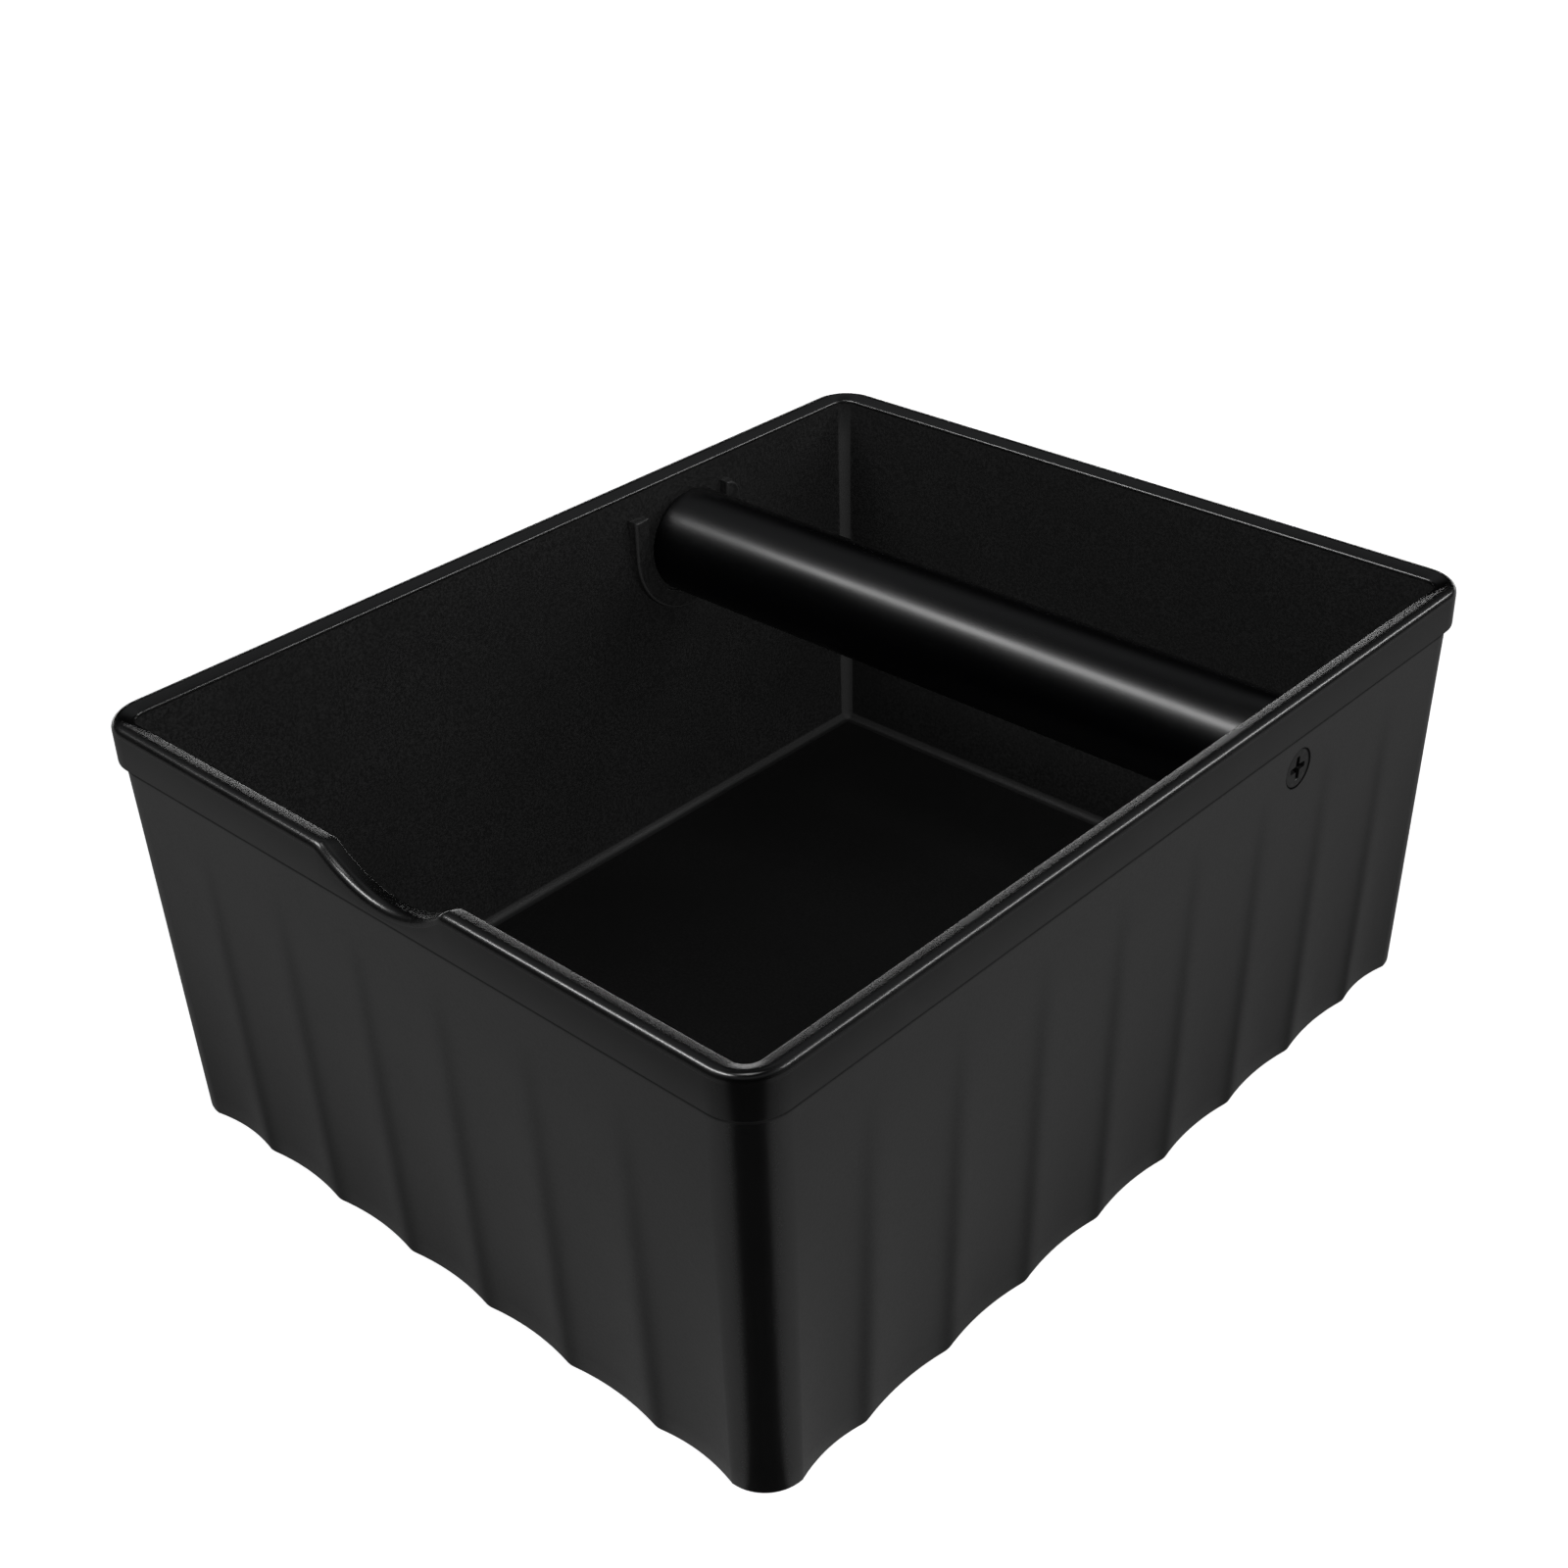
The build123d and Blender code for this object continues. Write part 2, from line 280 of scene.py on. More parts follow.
class Surface(NodeGraph):
    """A material under construction, down to its shader."""

    def __init__(self, name):
        self.material = bpy.data.materials.new(name)
        self.material.use_nodes = True
        super().__init__(self.material.node_tree)
        self.position = self.coordinates.outputs["Object"]
        self.shader = self.nodes["Principled BSDF"]

    def noise(self, size, detail=2.0, roughness=0.5, stretch=(1, 1, 1)):
        """Noise whose features are about this size in millimetres."""
        mapping = self.nodes.new("ShaderNodeMapping")
        mapping.inputs["Scale"].default_value = stretch
        self.links.new(self.position, mapping.inputs["Vector"])
        node = self.nodes.new("ShaderNodeTexNoise")
        self.links.new(mapping.outputs["Vector"], node.inputs["Vector"])
        node.inputs["Scale"].default_value = 1 / (size * MM)
        node.inputs["Detail"].default_value = detail
        node.inputs["Roughness"].default_value = roughness
        return node.outputs["Fac"]

    def attribute(self, name):
        """A number stored on the mesh's points."""
        node = self.nodes.new("ShaderNodeAttribute")
        node.attribute_name = name
        return node.outputs["Fac"]

    def mix(self, share, first, second):
        """Mix of two colours. The node's colour sockets share their names with its number sockets,
        so they go by their places."""
        node = self.nodes.new("ShaderNodeMix")
        node.data_type = "RGBA"
        self.connect(node.inputs[0], share)
        self.connect(node.inputs[6], first)
        self.connect(node.inputs[7], second)
        return node.outputs[2]

    def bump(self, height, depth, before=None):
        """Bump of this depth in millimetres, on top of another bump if there is one."""
        node = self.nodes.new("ShaderNodeBump")
        node.inputs["Strength"].default_value = 1.0
        node.inputs["Distance"].default_value = depth * MM
        self.links.new(height, node.inputs["Height"])
        if before is not None:
            self.links.new(before, node.inputs["Normal"])
        return node.outputs["Normal"]

    def finish(self, colour, roughness, normal, specular=0.5, metallic=0.0):
        """Link the results to the shader and return the material."""
        self.connect(self.shader.inputs["Base Color"], colour)
        self.connect(self.shader.inputs["Roughness"], roughness)
        self.links.new(normal, self.shader.inputs["Normal"])
        self.shader.inputs["Specular IOR Level"].default_value = specular
        self.shader.inputs["Metallic"].default_value = metallic
        return self.material


def grey(level, tint=0.0):
    """A linear grey, with a little blue if tint is above 0."""
    return (level, level, level * (1 + tint), 1)


def with_painted_shade(graph, colour, rough, polish):
    """An outer surface's colour and roughness with painted shade: darker and matt along the ridges
    and in the seam, and darker down the corners, where polish also makes it smoother."""
    matting = 0.45
    painted_ridge_seam_shade = graph.attribute("painted_ridge_seam_shade")
    painted_edge_light_and_shade = graph.attribute("painted_edge_light_and_shade")
    # Painted shade: darker along the ridges, in the seam and down the corners.
    colour = graph.mix(graph.math("MAXIMUM", painted_edge_light_and_shade, painted_ridge_seam_shade), colour, grey(0.0012))
    rough = graph.math("MULTIPLY_ADD", painted_ridge_seam_shade, matting, rough)
    return colour, graph.math("MULTIPLY_ADD", painted_edge_light_and_shade, -polish, rough)


def outer_plastic():
    """Satin black ABS of the walls: fine grain, with painted shade along its ridges, in the seam and
    down its corners, where the corners are also smoother.
    """
    graph = Surface("abs_outer")
    haze = graph.noise(14, detail=3)
    grain = graph.noise(0.45, detail=2, roughness=0.6)
    plain = graph.mix(graph.spread(haze, 0.35, 0.65, 0, 1), grey(0.0078), grey(0.0092))
    speckled = graph.mix(graph.spread(grain, 0.3, 0.7, 0, 0.35), plain, grey(0.0045))
    rough = graph.math("ADD", graph.spread(haze, 0.3, 0.7, 0.30, 0.35),
                       graph.spread(grain, 0.3, 0.7, -0.02, 0.03))
    colour, rough = with_painted_shade(graph, speckled, rough, polish=0.12)
    return graph.finish(colour, rough, graph.bump(grain, 0.012))


def rim_plastic(name, roughness, specular):
    """The rim band and the lip over it: the same ABS, smoother, with a faint haze of handling, and
    painted shade down the corners and on the band's lower edge.
    """
    graph = Surface(name)
    haze = graph.noise(9, detail=3)
    grain = graph.noise(0.8, detail=2)
    plain = graph.mix(graph.spread(haze, 0.4, 0.7, 0, 1), grey(0.0050), grey(0.0062))
    rough = graph.math("ADD", graph.spread(haze, 0.3, 0.7, roughness - 0.01, roughness + 0.02),
                       graph.spread(grain, 0.3, 0.7, 0.0, 0.01))
    colour, rough = with_painted_shade(graph, plain, rough, polish=0.08)
    return graph.finish(colour, rough, graph.bump(grain, 0.0002), specular=specular)


def inner_plastic(name, shade, specular):
    """Inside of the bin: the same ABS with a coarser spark-eroded grain, and painted highlight along
    the rounded edges of its walls, floor and cradles.
    """
    graph = Surface(name)
    grain = graph.noise(0.55, detail=3, roughness=0.65)
    haze = graph.noise(22, detail=2)
    dark = grey(0.0065 * shade)
    pale = grey(0.015 * shade)
    fine = graph.mix(graph.spread(grain, 0.38, 0.66, 0, 1), dark, pale)
    plain = graph.mix(graph.spread(haze, 0.35, 0.7, 0, 0.4), fine, dark)
    # Painted highlight: paler on the rounded inner edges and round the cradles.
    colour = graph.mix(graph.attribute("painted_edge_light_and_shade"), plain, grey(0.030))
    rough = graph.spread(grain, 0.3, 0.7, 0.52, 0.64)
    return graph.finish(colour, rough, graph.bump(grain, 0.02), specular=specular)


def sleeve_rubber():
    """Smooth semi-gloss rubber of the bar, a little waved along its length and finely pitted."""
    graph = Surface("sleeve_rubber")
    waves = graph.noise(9, detail=2, stretch=(0.25, 1, 1))
    pits = graph.noise(0.5, detail=2)
    scuffs = graph.noise(2.2, detail=4, roughness=0.75, stretch=(0.35, 1, 1))
    colour = graph.mix(graph.spread(scuffs, 0.5, 0.75, 0, 1), grey(0.0006, 0.6), grey(0.0012, 0.5))
    rough = graph.math("ADD", graph.spread(waves, 0.3, 0.7, 0.27, 0.31),
                       graph.spread(scuffs, 0.5, 0.8, 0.0, 0.03))
    normal = graph.bump(pits, 0.001, graph.bump(waves, 0.004))
    return graph.finish(colour, rough, normal, specular=0.3)


def black_oxide():
    """Blackened steel of the screws, a little brighter where worn, with painted shade down in the
    recess.
    """
    graph = Surface("black_screw")
    shade_start = (SCREW_FACE_X - 0.02) * MM
    shade_full = (SCREW_FACE_X - 0.12) * MM
    wear = graph.noise(0.8, detail=4, roughness=0.7)
    grain = graph.noise(0.12, detail=2)
    from_middle = graph.math("ABSOLUTE", graph.component("X", graph.position))
    # Painted shade: near black and rougher down in the recess.
    painted_recess_shade = graph.spread(from_middle, shade_full, shade_start, 1, 0)
    bare = graph.mix(graph.spread(wear, 0.55, 0.75, 0, 1), grey(0.010), grey(0.030))
    colour = graph.mix(painted_recess_shade, bare, grey(0.001))
    rough = graph.math("MULTIPLY_ADD", painted_recess_shade, 0.5, graph.spread(wear, 0.3, 0.75, 0.46, 0.36))
    return graph.finish(colour, rough, graph.bump(grain, 0.004), metallic=0.35)


def foot_rubber():
    """Matt rubber of the feet, with a fine grain and a dusty bloom."""
    graph = Surface("foot_rubber")
    bloom = graph.noise(3.0, detail=4)
    grain = graph.noise(0.3, detail=2)
    colour = graph.mix(graph.spread(bloom, 0.4, 0.7, 0, 1), grey(0.014), grey(0.030))
    rough = graph.spread(bloom, 0.3, 0.7, 0.72, 0.88)
    return graph.finish(colour, rough, graph.bump(grain, 0.01), specular=0.4)


def zinc_steel():
    """Zinc-plated steel of the core tube, drawn lengthwise."""
    graph = Surface("zinc_steel")
    dark = (0.55, 0.56, 0.56, 1)
    pale = (0.68, 0.67, 0.63, 1)
    drawn = graph.noise(0.3, detail=3, stretch=(0.02, 1, 1))
    spangle = graph.noise(5, detail=3)
    colour = graph.mix(graph.spread(spangle, 0.35, 0.65, 0, 1), dark, pale)
    rough = graph.spread(drawn, 0.3, 0.7, 0.28, 0.42)
    return graph.finish(colour, rough, graph.bump(drawn, 0.004), metallic=1.0)


def turned_brass():
    """Turned brass of the end plugs, with fine tool marks and dull patches."""
    graph = Surface("plug_brass")
    bright = (0.72, 0.55, 0.26, 1)
    tarnished = (0.45, 0.33, 0.16, 1)
    marks = graph.noise(0.15, detail=2, stretch=(1, 0.05, 0.05))
    dull = graph.noise(3, detail=3)
    colour = graph.mix(graph.spread(dull, 0.4, 0.7, 0, 1), bright, tarnished)
    rough = graph.spread(dull, 0.3, 0.7, 0.25, 0.45)
    return graph.finish(colour, rough, graph.bump(marks, 0.004), metallic=1.0)


# ---- The bin's outline -------------------------------------------------------------------------
# A station is one place on the way round the bin. On a side it is a place along the side, measured
# from the side's middle, or past the last ridge a share of the way to the corner. At a corner it
# is an angle. turn counts quarter turns from the -Y side.
Station = namedtuple("Station", "turn place share angle")


def side_facts(turn):
    """Ridge pitch and last ridge's place on the side at this quarter turn."""
    pitch, count = (SHORT_PITCH, SHORT_RIDGES) if turn % 2 == 0 else (LONG_PITCH, LONG_RIDGES)
    return pitch, pitch * (count - 1) / 2


FLUTE_SHARES = (0.0, 0.022, 0.05, 0.085, 0.13, 0.19, 0.26, 0.34, 0.42)
NOTCH_PLACES = (13.3, 14.3, 14.8, 15.1, 15.3, 15.5, 15.8, 16.4, 17.6)
CORNER_STEPS = 14


def side_stations(turn):
    """Stations along one side, from its left end to its right, closest together at the ridges."""
    pitch, last = side_facts(turn)
    shares = list(FLUTE_SHARES) + [0.5] + [1 - share for share in reversed(FLUTE_SHARES)]
    left = [Station(turn, -last, -(1 - share), None) for share in shares[:-1]]
    right = [Station(turn, last, share, None) for share in shares[1:]]
    places = set()
    ridges = round(2 * last / pitch)
    for index in range(ridges):
        start = -last + pitch * index
        places.update(round(start + pitch * share, 4) for share in shares)
    if turn == 0:
        crowd = 0.25
        for place in NOTCH_PLACES:
            for exact in (-place, place):
                places = {other for other in places if abs(other - exact) > crowd}
                places.add(exact)
    middle = [Station(turn, place, 0, None) for place in sorted(places)]
    return left + middle + right


def all_stations():
    """Every station, once round from the -Y side's left end."""
    stations = []
    for turn in range(4):
        stations += side_stations(turn)
        for step in range(1, CORNER_STEPS):
            stations.append(Station(turn, 0, 0, QUARTER * step / CORNER_STEPS))
    return stations


STATIONS = all_stations()


def raw_flute_inset(place, pitch, last, half_span):
    """How far in the wall is at its base, at this place along a side, with sharp ridges."""
    reach = abs(place)
    if reach >= half_span:
        return 0.0
    if reach > last:
        share = (reach - last) / (half_span - last)
        return RIDGE_INSET * (1 - share) + FLUTE_DEPTH * 4 * share * (1 - share)
    share = ((place + last) / pitch) % 1
    return RIDGE_INSET + FLUTE_DEPTH * 4 * share * (1 - share)


def flute_inset(place, pitch, last, half_span):
    """The same, with the ridges a little rounded."""
    reach = min(RIDGE_SOFTNESS, half_span - abs(place))
    nearby = [place + reach * step for step in (-2, -1, 0, 1, 2)]
    return sum(raw_flute_inset(one, pitch, last, half_span) for one in nearby) / len(nearby)


def outline(half_x, half_y, radius, strength=0.0):
    """(x, y) of every station on a rounded rectangle, its flutes at a share of their depth."""
    points = []
    for station in STATIONS:
        across, away = (half_x, half_y) if station.turn % 2 == 0 else (half_y, half_x)
        half_span = across - radius
        if station.angle is None:
            pitch, last = side_facts(station.turn)
            place = station.place + station.share * (half_span - last)
            inset = strength * flute_inset(place, pitch, last, half_span) if strength else 0.0
            u, v = place, -away + inset
        else:
            u = half_span + radius * math.sin(station.angle)
            v = -away + radius * (1 - math.cos(station.angle))
        for _ in range(station.turn):
            u, v = -v, u
        points.append((u, v))
    return points


def notch_drop(station, x):
    """How far the rim is lowered at this station by the thumb notch."""
    if station.turn != 0 or station.angle is not None:
        return 0.0
    half = NOTCH_WIDTH / 2
    radius = (half**2 + NOTCH_DEPTH**2) / (2 * NOTCH_DEPTH)
    if abs(x) >= radius:
        return 0.0
    drop = math.sqrt(radius**2 - x**2) - (radius - NOTCH_DEPTH)
    if drop <= -NOTCH_DEPTH:
        return 0.0
    return (drop + math.sqrt(drop**2 + NOTCH_SOFTNESS**2)) / 2


def ring(half_x, half_y, radius, z, strength=0.0, notched=False):
    """One closed ring of points at height z, or at z less the notch's drop."""
    points = []
    for station, (x, y) in zip(STATIONS, outline(half_x, half_y, radius, strength)):
        drop = notch_drop(station, x) if notched else 0.0
        points.append((x, y, z - drop))
    return points


# ---- The bin -----------------------------------------------------------------------------------
def wall_half_sizes(z):
    """Half width and half length of the outer wall, over its corners, at height z."""
    inset = WALL_LEAN * (BAND_BOTTOM - z) / (BAND_BOTTOM - SKIRT_BOTTOM)
    return WALL_TOP_X - inset, WALL_TOP_Y - inset


def cavity_half_sizes(z):
    """Half width and half length of the inside at height z."""
    share = (HEIGHT - z) / (HEIGHT - FLOOR_TOP)
    return CAVITY_TOP_X - CAVITY_LEAN_X * share, CAVITY_TOP_Y - CAVITY_LEAN_Y * share


def underside_rings():
    """From the recess's ceiling down its wall, and out across the skirt's bottom edge."""
    half_x, half_y = wall_half_sizes(SKIRT_BOTTOM)
    inner_x = half_x - SKIRT_THICKNESS
    inner_y = half_y - SKIRT_THICKNESS
    rings = [ring(inner_x, inner_y, RECESS_RADIUS, RECESS_TOP)]
    for out, up in arc_points((SKIRT_ROUND, SKIRT_ROUND), SKIRT_ROUND, 180, 270, 3):
        rings.append(ring(inner_x + out, inner_y + out, RECESS_RADIUS + out, SKIRT_BOTTOM + up))
    for inset, up in arc_points((SKIRT_ROUND, SKIRT_ROUND), SKIRT_ROUND, 270, 180, 3):
        z = SKIRT_BOTTOM + up
        rings.append(ring(half_x - inset, half_y - inset, BASE_RADIUS - inset, z, 1.0))
    return rings


def wall_rings():
    """Up the fluted wall and the plain wall above it, to the step under the band."""
    rings = []
    levels = 16
    start = SKIRT_BOTTOM + SKIRT_ROUND
    for level in range(1, levels + 1):
        z = start + (FLUTE_TOP - start) * level / levels
        share = (z - SKIRT_BOTTOM) / (FLUTE_TOP - SKIRT_BOTTOM)
        radius = BASE_RADIUS + (BAND_RADIUS - BASE_RADIUS) * share
        rings.append(ring(*wall_half_sizes(z), radius, z, 1 - share))
    seam_bottom = BAND_BOTTOM - SEAM_HEIGHT
    for z in (PLAIN_WALL_RING, seam_bottom - SEAM_FADE, seam_bottom, BAND_BOTTOM):
        rings.append(ring(*wall_half_sizes(z), BAND_RADIUS, z))
    return rings


def band_rings():
    """Out under the band and up to the start of the lip's rounding."""
    rings = []
    centre = (BAND_LOWER_ROUND, BAND_LOWER_ROUND)
    for inset, up in arc_points(centre, BAND_LOWER_ROUND, 270, 180, 4):
        half_x = BAND_HALF_X - inset
        half_y = BAND_HALF_Y - inset
        rings.append(ring(half_x, half_y, BAND_RADIUS - inset, BAND_BOTTOM + up))
    top = HEIGHT - BAND_TOP_ROUND
    rings.append(ring(BAND_HALF_X, BAND_HALF_Y, BAND_RADIUS, top, notched=True))
    return rings


def lip_rings():
    """Over the lip: the band's rounded top edge, a flat, the crown that turns down towards the
    inside, a short slope, and a last rounding into the inner wall."""
    rings = []
    centre = (BAND_TOP_ROUND, -BAND_TOP_ROUND)
    for inset, down in arc_points(centre, BAND_TOP_ROUND, 180, 90, 7)[1:]:
        half_x = BAND_HALF_X - inset
        half_y = BAND_HALF_Y - inset
        rings.append(ring(half_x, half_y, BAND_RADIUS - inset, HEIGHT + down, notched=True))
    tilt = math.radians(LIP_CROWN_TILT)
    slope_angle = 90 + LIP_CROWN_TILT
    crown_start = LIP_CROWN_END + LIP_CROWN_RADIUS * math.sin(tilt)
    centre = (crown_start, -LIP_CROWN_RADIUS)
    profile = arc_points(centre, LIP_CROWN_RADIUS, 90, slope_angle, 4)
    crown_drop = LIP_CROWN_RADIUS * (1 - math.cos(tilt))
    slope_drop = (LIP_CROWN_END - LIP_INNER_ROUND) * math.tan(tilt)
    centre = (LIP_INNER_ROUND, -(crown_drop + slope_drop + LIP_INNER_ROUND / math.cos(tilt)))
    profile += arc_points(centre, LIP_INNER_ROUND, slope_angle, 180, 6)
    for out, down in profile:
        half_x = CAVITY_TOP_X + out
        half_y = CAVITY_TOP_Y + out
        radius = CAVITY_TOP_RADIUS + out
        rings.append(ring(half_x, half_y, radius, HEIGHT + down, notched=True))
    return rings


def cavity_rings():
    """Down the inner wall and round its foot, to the floor's edge."""
    rings = []
    levels = 10
    bottom = FLOOR_TOP + FLOOR_ROUND
    for level in range(levels + 1):
        z = CAVITY_WALL_TOP + (bottom - CAVITY_WALL_TOP) * level / levels
        share = (HEIGHT - z) / (HEIGHT - FLOOR_TOP)
        radius = CAVITY_TOP_RADIUS + (CAVITY_FLOOR_RADIUS - CAVITY_TOP_RADIUS) * share
        rings.append(ring(*cavity_half_sizes(z), radius, z))
    half_x, half_y = cavity_half_sizes(bottom)
    for inset, up in arc_points((FLOOR_ROUND, FLOOR_ROUND), FLOOR_ROUND, 180, 270, 6)[1:]:
        radius = max(CAVITY_FLOOR_RADIUS - inset, FLOOR_CORNER_RADIUS)
        rings.append(ring(half_x - inset, half_y - inset, radius, FLOOR_TOP + up))
    inset = FLOOR_ROUND + FLOOR_MARGIN
    rings.append(ring(half_x - inset, half_y - inset, FLOOR_CORNER_RADIUS, FLOOR_TOP))
    return rings


def bin_shell(materials):
    """The bin's shell without cradles, holes and foot rings."""
    groups = [underside_rings(), wall_rings(), band_rings(), lip_rings(), cavity_rings()]
    rings = [one for group in groups for one in group]
    points, faces = join_rings(rings)
    count = len(STATIONS)
    face_materials = []
    for group, material in zip(groups, (WALL, WALL, BAND, LIP, INSIDE)):
        face_materials += [material] * (count * len(group))
    face_materials = face_materials[count:] + [WALL, FLOOR]
    return new_object("bin_body_visual", points, faces, materials, face_materials)


def cradle_outline():
    """The cradle's closed outline as (u, v, roundness), u towards +Y and v up, from the bar's axis.

    roundness is 1 on the outer edges and less on the edge of the opening."""
    inner = SLEEVE_RADIUS + CRADLE_GAP
    outer = inner + CRADLE_RIB
    opening_round = 0.4
    round_centre = (outer - CRADLE_REAR_ROUND, CRADLE_ARM_RISE - CRADLE_REAR_ROUND)
    points = [(u, v, 1) for u, v in arc_points((0, 0), outer, 180, 360, 44)]
    points += [(u, v, 1) for u, v in arc_points(round_centre, CRADLE_REAR_ROUND, 0, 84, 9)]
    points += [(inner, CRADLE_ARM_RISE, opening_round)]
    points += [(u, v, opening_round) for u, v in arc_points((0, 0), inner, 0, -180, 44)]
    points += [(-inner, CRADLE_ARM_RISE, opening_round), (-outer, CRADLE_ARM_RISE, 1)]
    return points


def shrink(points, distance):
    """A closed outline moved inwards by distance times each point's roundness.

    A point on a corner moves along the corner's middle, but never by more than twice as far."""
    shrunk = []
    count = len(points)
    for index, (u, v, roundness) in enumerate(points):
        before = points[index - 1]
        after = points[(index + 1) % count]
        first = Vector((u - before[0], v - before[1])).normalized()
        second = Vector((after[0] - u, after[1] - v)).normalized()
        normal_1 = Vector((-first.y, first.x))
        normal_2 = Vector((-second.y, second.x))
        shift = (normal_1 + normal_2) / max(1 + normal_1.dot(normal_2), 0.5)
        shrunk.append((u + shift.x * distance * roundness, v + shift.y * distance * roundness))
    return shrunk


def cradle(side, materials):
    """The raised U on one long inner wall, side 1 for +X and -1 for -X, its root in the wall."""
    outline_points = cradle_outline()
    # The flare at the root: how far in from its edge, and how far out from the wall.
    flare = 0.5
    flare_curve = ((0.1, 0.1), (0.25, 0.3), (0.4, 0.6), (flare, 0.9))
    in_wall_far = 2.0
    in_wall_near = 0.35
    root_x = cavity_half_sizes(BAR_Z)[0]
    profile = [(-flare, root_x + in_wall_far), (-flare, root_x + in_wall_near)]
    profile += [(inset - flare, root_x - rise) for inset, rise in flare_curve]
    for inset, down in arc_points((CRADLE_EDGE_ROUND, 0), CRADLE_EDGE_ROUND, 180, 90, 6):
        profile.append((inset, CRADLE_FACE_X + CRADLE_EDGE_ROUND - down))
    rings = []
    for inset, x in profile:
        flat = shrink(outline_points, inset)
        rings.append([(side * x, BAR_Y + u, BAR_Z + v) for u, v in flat])
    points, faces = join_rings(rings)
    if side > 0:
        faces = flipped(faces)
    return new_object(f"cradle_{side}", points, faces, materials, [INSIDE] * len(faces))


def foot_ring(node, materials):
    """The low ring under the floor that one foot is stuck into."""
    low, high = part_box(node)
    x = (low[0] + high[0]) / 2 / MM
    y = (low[1] + high[1]) / 2 / MM
    inner = FOOT_RADIUS + FOOT_RING_GAP
    outer = inner + FOOT_RING_WIDTH
    bottom = RECESS_TOP - FOOT_RING_HEIGHT
    edge = 0.25
    buried = 0.5
    top = RECESS_TOP + buried
    profile = [(inner, top), (inner, bottom + edge), (inner + edge, bottom)]
    profile += [(outer - edge, bottom), (outer, bottom + edge), (outer, top)]
    rings = moved(lathe(profile), x, y)
    points, faces = join_rings(rings + rings[:1], cap_first=False, cap_last=False)
    return new_object(f"ring_{node}", points, faces, materials)


def screw_hole(side):
    """The tool that cuts the clearance hole and countersink through one wall.

    The countersink stands off the head's cone by the clearance, measured square to the cone."""
    shank_clearance = 0.05
    inside_wall = 8.0
    outside_wall = 4.0
    mouth = HEAD_RADIUS + HEAD_CLEARANCE
    hole = SCREW_RADIUS + shank_clearance
    sink_end = SCREW_FACE_X - HEAD_RIM - HEAD_CLEARANCE * math.sqrt(2) + HEAD_CLEARANCE
    profile = [(hole, CAVITY_TOP_X - inside_wall), (hole, sink_end - (mouth - hole))]
    profile += [(mouth, sink_end), (mouth, SCREW_FACE_X + outside_wall)]
    points, faces = join_rings(laid_on_bar_axis(lathe(profile), side))
    if side < 0:
        faces = flipped(faces)
    return new_object(f"hole_{side}", points, faces, [])


def inner_edge_highlight(x, y, z):
    """How much painted highlight a point inside the bin gets: fully on the rounded edges between its
    walls and floor, and a little less round the cradles' edges."""
    cradle_highlight = 0.8
    highlight_from = 0.08
    highlight_to = 0.75
    half_x, half_y = cavity_half_sizes(z)
    corner_x = abs(x) - (half_x - CAVITY_FLOOR_RADIUS)
    corner_y = abs(y) - (half_y - CAVITY_FLOOR_RADIUS)
    if z > FLOOR_TOP + MARGIN and min(corner_x, corner_y) > 0:
        return 1.0
    if FLOOR_TOP + MARGIN < z < FLOOR_TOP + FLOOR_ROUND - MARGIN:
        return 1.0
    near_bar = z > BAR_Z - 2 * SLEEVE_RADIUS and abs(y - BAR_Y) < 2 * SLEEVE_RADIUS
    round_edge = (abs(x) - CRADLE_FACE_X) / CRADLE_EDGE_ROUND
    return cradle_highlight if near_bar and highlight_from < round_edge < highlight_to else 0.0


def outer_corner_shade(x, y, z):
    """How much painted shade a point on the outside gets, where polish also makes it smoother: 1
    down the middle of each corner.
    """
    corner_spread = math.radians(24)
    half_x, half_y = wall_half_sizes(z)
    corner_x = abs(x) - (half_x - BAND_RADIUS)
    corner_y = abs(y) - (half_y - BAND_RADIUS)
    if min(corner_x, corner_y) <= 0:
        return 0.0
    off_middle = math.atan2(corner_x, corner_y) - math.pi / 4
    return math.exp(-((off_middle / corner_spread) ** 4))


def ridge_and_seam_shade(x, y, z):
    """How much painted shade a point on a wall gets: dark bands along the ridges, and the band's
    shadow in the seam under it.
    """
    ridge_width = 2.3
    strongest = 0.6
    fade_start = 14.0
    fade_end = 70.0
    fade_power = 0.6
    # Painted shadow in the seam under the band's step and on the band's lower rounding.
    if BAND_BOTTOM - SEAM_HEIGHT - MARGIN < z < BAND_BOTTOM + BAND_LOWER_ROUND - MARGIN:
        return 1.0
    half_x, half_y = wall_half_sizes(z)
    on_long_side = half_x - abs(x) < half_y - abs(y)
    place = y if on_long_side else x
    pitch, last = side_facts(1 if on_long_side else 0)
    nearest = max(-last, min(last, round((place + last) / pitch) * pitch - last))
    # Painted shade in a band along the nearest ridge, fading out up the wall.
    fade = max(0.0, min(1.0, (fade_end - z) / (fade_end - fade_start)))
    near = math.exp(-(((place - nearest) / ridge_width) ** 2))
    return strongest * fade**fade_power * near


